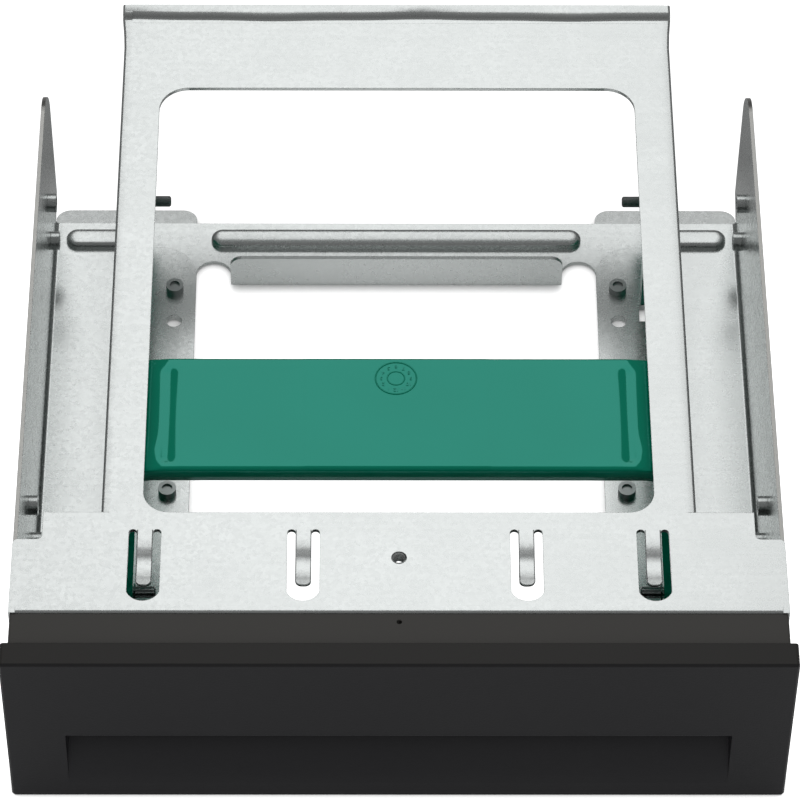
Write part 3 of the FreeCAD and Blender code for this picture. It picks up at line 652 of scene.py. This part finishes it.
    def rail_skin(self, name: str, side: float) -> bpy.types.Object:
        """Skin of the fold between a rail of the cage and its side flange, out to the mouth.

        Across, it is level, then a tight quarter circle, then straight down. Along, it follows
        the cage's outline: straight, then flaring out and last turning up at the mouth.

        Args:
            name: the piece's name.
            side: -1 for the left rail, 1 for the right one.

        Returns:
            the skin as one piece.
        """
        turn = quarter_turn(self.arc_points)
        out = np.concatenate([[-self.rail_reach], self.rail_fold * (np.sin(turn) - 1), [0.0]])
        down = np.concatenate([[0.0], self.rail_fold * (np.cos(turn) - 1), [-self.rail_skirt]])
        even = np.linspace(self.rail_y[0], self.rail_y[-1], self.rail_stations)
        y = np.unique(np.concatenate([np.asarray(self.rail_y), even]))
        edge = self.rail_x + self.rail_proud_x + np.interp(y, self.rail_y, self.rail_flare)
        roof = self.roof_z + self.rail_proud_z + np.interp(y, self.rail_y, self.rail_rise)
        x = side * (edge[None, :] + out[:, None])
        z = roof[None, :] + down[:, None]
        points = np.stack(np.broadcast_arrays(x, y[None, :], z), axis=-1)
        return grid_piece(name, points, flip=side > 0.0)

    def mouth_skin(self) -> bpy.types.Object:
        """Skin of the mouth's lip: a short steep rise whose line waves a little, then nearly level.

        The rise is that of the rails. The wave is a sine across the mouth plus a third of its
        size at three times its pace, and it shifts the steep part alone.

        Returns:
            the skin as one piece.
        """
        at = np.array([self.mouth_start_y, *self.rail_y[self.mouth_first:]])
        rise = np.array([0.0, *self.rail_rise[self.mouth_first:]])
        steep = np.where((rise > 0.0) & (rise < self.mouth_level_rise), 1.0, 0.0)
        half = self.rail_x + self.rail_flare[-1] - self.rail_fold
        x = np.linspace(-half, half, self.mouth_columns)
        pace = 2 * math.pi * x / self.mouth_wave_length
        wave = self.mouth_wave * (np.sin(pace + self.mouth_wave_phase)
                                  + np.sin(self.mouth_overtone * pace) / self.mouth_overtone)
        y = at[:, None] + steep[:, None] * wave[None, :]
        z = self.roof_z + self.mouth_proud + rise[:, None]
        points = np.stack(np.broadcast_arrays(x[None, :], y, z), axis=-1)
        return grid_piece("mouth_lip", points)

    def thread_skin(self) -> bpy.types.Object:
        """Thread in the strip's drawn hole: a tube whose radius waves with height and angle.

        The radius is a cosine of the angle plus one turn for each pitch of height, so its
        crests climb as a helix. The faces look at the axis.

        Returns:
            the skin as one piece.
        """
        z = np.linspace(*self.thread_z, self.thread_rows)
        turn = full_turn(self.thread_columns)
        phase = 2 * math.pi * z[:, None] / self.thread_pitch + turn[None, :]
        radius = self.hole_radius - self.thread_depth * (0.5 + 0.5 * np.cos(phase))
        points = np.stack(np.broadcast_arrays(
            radius * np.cos(turn), self.hole_y + radius * np.sin(turn), z[:, None]), axis=-1)
        return grid_piece("strip_thread", points, wrap=True, flip=True)

    def fold_skin(self) -> bpy.types.Object:
        """Skin of the front strip's fold: level, a quarter circle, then straight down.

        Returns:
            the skin as one piece.
        """
        turn = quarter_turn(self.arc_points)
        centre_y = self.fold_y + self.fold_radius
        y = np.concatenate([[self.fold_back_y], centre_y - self.fold_radius * np.sin(turn), [self.fold_y]])
        top = self.roof_z + self.fold_proud
        z = np.concatenate([[self.roof_z - self.fold_sunk], top - self.fold_radius * (1 - np.cos(turn)),
                            [top - self.fold_skirt]])
        x = np.linspace(-self.fold_x, self.fold_x, self.fold_columns)
        points = np.stack(np.broadcast_arrays(x[None, :], y[:, None], z[:, None]), axis=-1)
        return grid_piece("strip_fold", points, flip=True)

    def build(self, nodes: dict[str, bpy.types.Object]) -> None:
        """Dress the tray and the cage, and lay the skins over beads, tongues, folds, lip and thread.

        Args:
            nodes: the frame's objects by node name.
        """
        material = self.finish.material()
        dress(nodes, ("tray", "cage"), material)
        pieces = [self.bead_skin(name, start, finish) for name, start, finish in self.bead_axes]
        pieces += [self.tongue_skin(f"tongue_{i}", x) for i, x in enumerate(self.tongue_x, start=1)]
        pieces += [self.rail_skin("rail_fold_left", -1.0), self.rail_skin("rail_fold_right", 1.0)]
        pieces += [self.fold_skin(), self.mouth_skin(), self.thread_skin()]
        for piece in pieces:
            piece.data.materials.append(material)
            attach(piece, Body.FRAME.value)
            log.info("%s has %d faces", piece.name, len(piece.data.polygons))


@dataclass
class Bezel:
    """The black blanking bezel."""

    finish: BlackMoulding = BlackMoulding()

    def build(self, nodes: dict[str, bpy.types.Object]) -> None:
        """Dress the bezel."""
        dress(nodes, ("bezel",), self.finish.material())


@dataclass
class Fasteners:
    """The four rivets of the feet and the four turned pins of the carrier."""

    rivet: PlatedSteel = PlatedSteel("headed_rivet_steel", "#B8BDBC", 0.34)
    pin: PlatedSteel = PlatedSteel("turned_pin_steel", "#A7ABAB", 0.24)

    def build(self, nodes: dict[str, bpy.types.Object]) -> None:
        """Dress the rivets and the pins.

        Args:
            nodes: the frame's objects by node name.
        """
        places = [f"{end}_{hand}" for end in ("front", "rear") for hand in ("left", "right")]
        dress(nodes, tuple(f"rivet_{place}" for place in places), self.rivet.material())
        dress(nodes, tuple(f"pin_{place}" for place in places), self.pin.material())


@dataclass
class DriveCarrier:
    """The green carrier, whose strap gets a moulded skin and a date dial."""

    finish: GreenMoulding = GreenMoulding()
    outer_x: float = 55.2
    top_z: float = 39.8
    shoulder: float = 8.0
    shoulder_points: int = 25
    front_y: float = 47.9
    back_y: float = 75.45
    step: float = 0.4
    lip: float = 3.2
    lift: float = 0.45
    fade_degrees: float = 20.0
    wall: float = 0.12
    edge: float = 0.75
    edge_points: int = 9
    tuck: float = 0.5
    hem: float = 0.05
    sink_x: float = 44.7
    sink_front_y: float = 50.6
    sink_back_y: float = 71.6
    sink_half_width: float = 1.25
    sink_depth: float = 0.3
    sink_waist: float = 0.22
    roll_rise_x: tuple[float, float] = (45.35, 46.3)
    roll_fall_x: tuple[float, float] = (47.2, 48.2)
    roll_slope: float = 0.2
    bulge: float = 0.95
    bulge_y: float = 52.5
    bulge_length: float = 3.0
    corner_inset: float = 1.0
    corner_length: float = 3.2
    panel_x: tuple[float, float] = (-18.35, 17.6)
    panel_rise: float = 0.07
    panel_edge: float = 0.2
    dial_x: float = -0.44
    dial_y: float = 70.2
    rim_radius: float = 4.0
    rim_half: float = 0.16
    hub_radius: float = 1.68
    hub_half: float = 0.13
    ring_points: int = 9
    ring_columns: int = 48
    ring_dip: float = 0.3
    number_radius: float = 2.88
    number_size: float = 1.15
    number_height: float = 0.24

    def relief(self, x: np.ndarray, y: np.ndarray) -> np.ndarray:
        """Height of the strap's top above its plain level, in millimetres.

        A sink mark near each end is a long dimple: its depth falls off as a bell with the
        distance to a line along Y, and is a little less in the line's middle. Past it the top
        rolls off towards the shoulder: its slope grows evenly to a full slope and eases off
        where the shoulder's own arc takes over. It starts further in at the strap's corners
        and further out at a bulge near the front. The insert panel in the middle is a low step
        whose two flanks are smooth ramps (a hyperbolic tangent across the edge).

        Args:
            x: places across the strap.
            y: places along the bracket.

        Returns:
            the height at each place.
        """
        middle = (self.sink_front_y + self.sink_back_y) / 2
        beyond = np.maximum(0.0, np.maximum(self.sink_front_y - y, y - self.sink_back_y))
        distance = np.hypot(np.abs(x) - self.sink_x, beyond)
        along = (y - middle) / (self.sink_back_y - middle)
        depth = self.sink_depth * (1.0 - self.sink_waist * (1.0 - along ** 2))
        sink = -depth * np.exp(-(distance / self.sink_half_width) ** 2)
        half = (self.back_y - self.front_y) / 2
        corner = np.clip((np.abs(y - middle) - half) / self.corner_length + 1.0, 0.0, 1.0)
        bulge = self.bulge * np.exp(-((y - self.bulge_y) / self.bulge_length) ** 2)
        out = np.abs(x) - bulge + self.corner_inset * corner ** 2
        roll = self.roll_slope * (ramp(np.abs(x), *self.roll_fall_x) - ramp(out, *self.roll_rise_x))
        low = np.tanh((x - self.panel_x[0]) / self.panel_edge)
        high = np.tanh((self.panel_x[1] - x) / self.panel_edge)
        return sink + roll + self.panel_rise * (low + high) / 2

    def strap_skin(self) -> bpy.types.Object:
        """Skin of the strap: its section along Y is carried across over both shoulders.

        The path across is a quarter circle, a straight run and a quarter circle in the XZ
        plane. The section is a lip, a quarter-round edge, the flat top, an edge and a lip,
        and each of its points is set off from the path along the path's normal. Low on the
        shoulders the skin fades into the solid.

        Returns:
            the skin as one piece.
        """
        turn = quarter_turn(self.shoulder_points)
        centre_x = self.outer_x - self.shoulder
        centre_z = self.top_z - self.shoulder
        run = np.arange(-centre_x + self.step, centre_x - 0.75 * self.step, self.step)
        nx = np.concatenate([-np.cos(turn), np.zeros(run.size), np.sin(turn)])
        nz = np.concatenate([np.sin(turn), np.ones(run.size), np.cos(turn)])
        base_x = np.concatenate([np.full(turn.size, -centre_x), run, np.full(turn.size, centre_x)])
        path_x = base_x + self.shoulder * nx
        path_z = centre_z + self.shoulder * nz
        fade = np.clip(nz / math.sin(math.radians(self.fade_degrees)), 0.0, 1.0)
        arc = quarter_turn(self.edge_points)
        front = self.front_y - self.wall
        back = self.back_y + self.wall
        top = np.arange(front + self.edge + self.step, back - self.edge - self.step / 2, self.step)
        rise_y = front + self.edge * (1 - np.cos(arc))
        drop_y = back - self.edge * (1 - np.cos(arc[::-1]))
        edge_off = self.edge * (np.sin(arc) - 1)
        lip_y = np.array([front + self.tuck, front + self.wall, front])
        lip_off = np.array([self.hem, -self.wall, 0.0]) - self.lip - self.lift
        section_y = np.concatenate([lip_y, rise_y, top, drop_y, (front + back) - lip_y[::-1]])
        section_off = np.concatenate([lip_off, edge_off, np.zeros(top.size), edge_off[::-1], lip_off[::-1]])
        x, y = np.meshgrid(path_x, section_y, indexing="ij")
        middle = (front + back) / 2
        shrink = 1.0 - (1.0 - fade) * (self.wall + self.hem) / (middle - front)
        y = middle + (y - middle) * shrink[:, None]
        level = np.where(section_off > -self.edge, 1.0 + section_off / self.edge, 0.0)
        off = section_off[None, :] + level[None, :] * self.relief(x, y)
        off = off + (self.lift * fade - self.hem * (1 - fade))[:, None]
        points = np.stack([x + off * nx[:, None], y, path_z[:, None] + off * nz[:, None]], axis=-1)
        return grid_piece("strap_skin", points, flip=True)

    def ring(self, name: str, radius: float, half: float) -> bpy.types.Object:
        """Raised ring of the date dial: a half circle turned about the dial's axis.

        The half circle goes on a little at both ends, so that the ring dips into the strap.

        Args:
            name: the piece's name.
            radius: middle radius of the ring.
            half: half of its width, and its height.

        Returns:
            the ring as one piece.
        """
        bow = np.linspace(-self.ring_dip, math.pi + self.ring_dip, self.ring_points)
        a, b = np.meshgrid(bow, full_turn(self.ring_columns))
        r = radius + half * np.cos(a)
        z = self.top_z + self.lift + self.panel_rise + half * np.sin(a)
        points = np.stack([self.dial_x + r * np.cos(b), self.dial_y + r * np.sin(b), z], axis=-1)
        return grid_piece(name, points.transpose(1, 0, 2), wrap=True)

    def numerals(self) -> bpy.types.Object:
        """Raised month numbers 1 to 12 round the dial, upright towards the bracket's back.

        Each number is set out as on a clock's face, at its angle and radius. Then the whole
        dial is given half a turn, which turns the signs of x and y, and moved to its place.

        Returns:
            all the numbers as one piece.
        """
        texts = []
        for month in range(1, MONTHS + 1):
            curve = bpy.data.curves.new("month", "FONT")
            curve.body = str(month)
            curve.align_x = "CENTER"
            curve.align_y = "CENTER"
            curve.size = self.number_size
            curve.extrude = self.number_height / 2
            texts.append(linked("month", curve))
        bpy.context.view_layer.update()
        depsgraph = bpy.context.evaluated_depsgraph_get()
        corners = []
        faces = []
        count = 0
        for month, text in enumerate(texts, start=1):
            angle = math.radians(90.0 - 360.0 / MONTHS * month)
            spot = self.number_radius * np.array((math.cos(angle), math.sin(angle), 0.0))
            mesh = bpy.data.meshes.new_from_object(text.evaluated_get(depsgraph))
            flat = np.empty(len(mesh.vertices) * 3)
            mesh.vertices.foreach_get("co", flat)
            corners.append(flat.reshape(-1, 3) + spot)
            faces += [[v + count for v in polygon.vertices] for polygon in mesh.polygons]
            count += len(mesh.vertices)
            bpy.data.objects.remove(text)
        half_turn = np.array((-1.0, -1.0, 1.0))
        middle = np.array((self.dial_x, self.dial_y, self.top_z + self.lift + self.panel_rise))
        points = np.concatenate(corners) * half_turn + middle
        mesh = bpy.data.meshes.new("dial_numbers")
        mesh.from_pydata(placed(points).tolist(), [], faces)
        mesh.update()
        return linked("dial_numbers", mesh)

    def build(self, nodes: dict[str, bpy.types.Object]) -> None:
        """Build the strap's skin and its dial, and dress the whole carrier.

        Args:
            nodes: the frame's objects by node name.
        """
        material = self.finish.material()
        dress(nodes, ("drive_carrier",), material)
        pieces = [self.strap_skin()]
        pieces.append(self.ring("dial_rim", self.rim_radius, self.rim_half))
        pieces.append(self.ring("dial_hub", self.hub_radius, self.hub_half))
        pieces.append(self.numerals())
        for piece in pieces:
            piece.data.materials.append(material)
            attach(piece, Body.CARRIER.value)
            log.info("%s has %d faces", piece.name, len(piece.data.polygons))


@dataclass
class Studio:
    """Pale floor, soft overhead light and the camera at the photograph's angle."""

    focal_mm: float = 198.81
    sensor_mm: float = 36.0
    camera_mm: tuple[float, float, float] = (-5.5527, -477.753, 704.850)
    elevation: float = 50.7731
    yaw: float = 0.39229
    roll: float = -0.05669
    floor_z: float = -0.65
    floor_half: float = 6000.0
    floor_glow: float = 1.1
    floor_gloss: float = 0.06
    floor_lit_front: str = "#D8D8D8"
    floor_painted_shade_behind: str = "#6C6C6C"
    floor_shade_turn_mm: tuple[float, float] = (40.4, 80.4)
    contact_mm: float = 3.0
    contact_samples: int = 8
    soft_dome: tuple[float, float] = (0.58, 1.15)
    gloss_dome: tuple[float, float] = (0.07, 0.13)
    camera_dome: tuple[float, float] = (1.0, 1.0)
    panel_elevation: float = 54.0
    panel_size_m: tuple[float, float] = (0.72, 1.24)
    panel_distance_m: float = 1.7
    panel_power: float = 2.64

    def floor(self) -> None:
        """Plain pale floor that looks white away from the object and keeps its shadow.

        The camera sees a white glow that fades, as a painted contact shadow, where the object stands close
        over the floor, and a mirror sees a faint share of it. The paper under the glow is painted pale in
        front and grey behind, as painted shade where less light reaches it, which only the light and the
        mirrors show.
        """
        made, tree = new_material("pale_floor")
        path = add_node(tree, "ShaderNodeLightPath").outputs
        mirrored = add_node(tree, "ShaderNodeMath", {
            0: path["Is Glossy Ray"], 1: path["Is Transmission Ray"]}, operation="MAXIMUM")
        faint = add_node(tree, "ShaderNodeMath", {
            0: mirrored.outputs[0], 1: self.floor_gloss}, operation="MULTIPLY")
        # Painted contact shadow: ambient occlusion dims the camera's glow where the object stands close
        # over the floor.
        free = add_node(tree, "ShaderNodeAmbientOcclusion", {
            "Distance": self.contact_mm * MM}, samples=self.contact_samples)
        glow_with_painted_contact_shadow = add_node(tree, "ShaderNodeMath", {
            0: path["Is Camera Ray"], 1: free.outputs["AO"]}, operation="MULTIPLY")
        strength = add_node(tree, "ShaderNodeMath", {
            0: glow_with_painted_contact_shadow.outputs[0], 1: self.floor_glow, 2: faint.outputs[0]}, operation="MULTIPLY_ADD")
        glow = add_node(tree, "ShaderNodeEmission", {
            "Color": linear(WHITE), "Strength": strength.outputs[0]})
        # Painted shade: the paper's colour turns from pale in front to grey behind, in place of light
        # falling off.
        place = add_node(tree, "ShaderNodeTexCoord").outputs["Object"]
        along = add_node(tree, "ShaderNodeSeparateXYZ", {"Vector": place}).outputs["Y"]
        share = add_node(tree, "ShaderNodeMapRange", {
            "Value": along, "From Min": self.floor_shade_turn_mm[0] * MM, "From Max": self.floor_shade_turn_mm[1] * MM})
        paper = add_node(tree, "ShaderNodeMix", {
            "Factor": share.outputs["Result"],
            "A": linear(self.floor_lit_front), "B": linear(self.floor_painted_shade_behind)}, data_type="RGBA")
        matt = add_node(tree, "ShaderNodeBsdfDiffuse", {"Color": paper.outputs["Result"]})
        both = add_node(tree, "ShaderNodeAddShader", {0: matt.outputs[0], 1: glow.outputs[0]})
        add_node(tree, "ShaderNodeOutputMaterial", {"Surface": both.outputs[0]})
        half = self.floor_half
        points = np.array([[(-half, -half, self.floor_z), (half, -half, self.floor_z)],
                           [(-half, half, self.floor_z), (half, half, self.floor_z)]])
        piece = grid_piece("studio_floor", points)
        piece.data.materials.append(made)

    def sky(self) -> None:
        """Soft dome that is brighter overhead.

        Matt surfaces get its light in full, mirrors see it dark, so that the panel alone
        brightens them, and the camera sees plain white.
        """
        world = bpy.data.worlds.new("studio_dome")
        world.use_nodes = True
        tree = world.node_tree
        tree.nodes.clear()
        way = add_node(tree, "ShaderNodeTexCoord").outputs["Generated"]
        height = add_node(tree, "ShaderNodeSeparateXYZ", {"Vector": way}).outputs["Z"]
        path = add_node(tree, "ShaderNodeLightPath").outputs
        shades = []
        for low, high in (self.soft_dome, self.gloss_dome, self.camera_dome):
            level = add_node(tree, "ShaderNodeMapRange", {"Value": height, "To Min": low, "To Max": high})
            shades.append(add_node(tree, "ShaderNodeBackground", {
                "Color": linear(WHITE), "Strength": level.outputs["Result"]}).outputs[0])
        soft, gloss, white = shades
        lit = add_node(tree, "ShaderNodeMixShader", {0: path["Is Glossy Ray"], 1: soft, 2: gloss})
        mixed = add_node(tree, "ShaderNodeMixShader", {
            0: path["Is Camera Ray"], 1: lit.outputs[0], 2: white})
        add_node(tree, "ShaderNodeOutputWorld", {"Surface": mixed.outputs[0]})
        bpy.context.scene.world = world

    def panel(self) -> None:
        """Large soft panel behind and above, where the level faces mirror it to the camera."""
        light = bpy.data.lights.new("soft_panel", "AREA")
        light.shape = "RECTANGLE"
        light.size, light.size_y = self.panel_size_m
        light.energy = self.panel_power
        lamp = linked("soft_panel", light)
        angle = math.radians(self.panel_elevation)
        way = Vector((0.0, math.cos(angle), math.sin(angle)))
        lamp.location = way * self.panel_distance_m
        lamp.rotation_euler = way.to_track_quat("Z", "Y").to_euler()

    def camera(self) -> None:
        """Camera at the photograph's angle: yaw, then roll, about its own axes."""
        e, w, r = (math.radians(a) for a in (self.elevation, self.yaw, self.roll))
        ahead = Vector((0.0, math.cos(e), -math.sin(e)))
        down = Vector((0.0, -math.sin(e), -math.cos(e)))
        right = Vector((1.0, 0.0, 0.0))
        ahead, right = ahead * math.cos(w) + right * math.sin(w), right * math.cos(w) - ahead * math.sin(w)
        right, down = right * math.cos(r) + down * math.sin(r), down * math.cos(r) - right * math.sin(r)
        data = bpy.data.cameras.new("photo_camera")
        data.lens = self.focal_mm
        data.sensor_width = self.sensor_mm
        camera = linked("photo_camera", data)
        turn = Matrix((right, -down, -ahead)).transposed().to_4x4()
        camera.matrix_world = Matrix.Translation(Vector(placed(self.camera_mm))) @ turn
        bpy.context.scene.camera = camera

    def build(self) -> None:
        """Set up the floor, the light, the view transform and the camera."""
        self.floor()
        self.sky()
        self.panel()
        self.camera()
        bpy.context.scene.view_settings.view_transform = "Standard"
        log.info("studio is set")


def main() -> None:
    """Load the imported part, dress it and set the studio round it."""
    logging.basicConfig(level=logging.INFO, format="%(name)s: %(message)s")
    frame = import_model()
    nodes = frame["nodes"]
    for assembly in (FoldedSheets(), Bezel(), Fasteners(), DriveCarrier()):
        assembly.build(nodes)
    Studio().build()


if __name__ == "__main__":
    main()
